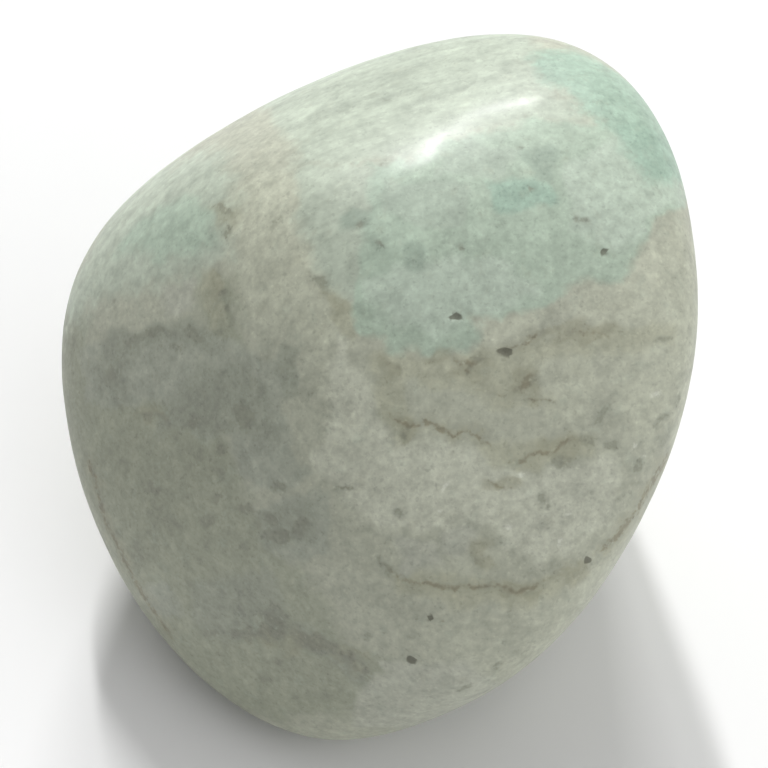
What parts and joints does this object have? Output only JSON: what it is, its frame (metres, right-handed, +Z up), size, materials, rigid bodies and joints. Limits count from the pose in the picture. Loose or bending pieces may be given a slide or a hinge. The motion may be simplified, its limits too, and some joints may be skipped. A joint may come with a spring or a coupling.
{
  "type": "tumbled amazonite stone",
  "caption": "Rounded, softly faceted pebble of pale green and grey amazonite with a tumbled satin polish, lying on a small worn flat.",
  "frame": {"origin": "on the surface that the stone lies on, below the middle of its box", "axes": "+Z up out of the resting flat; the broad front of the stone looks towards -Y and up"},
  "size_m": [0.0264, 0.0264, 0.0222],
  "materials": {
    "amazonite": "tumbled satin polish, mottled mint green, beige and grey with thin brown veins"
  },
  "bodies": {
    "root": {"stone": "amazonite"}
  },
  "joints": []
}
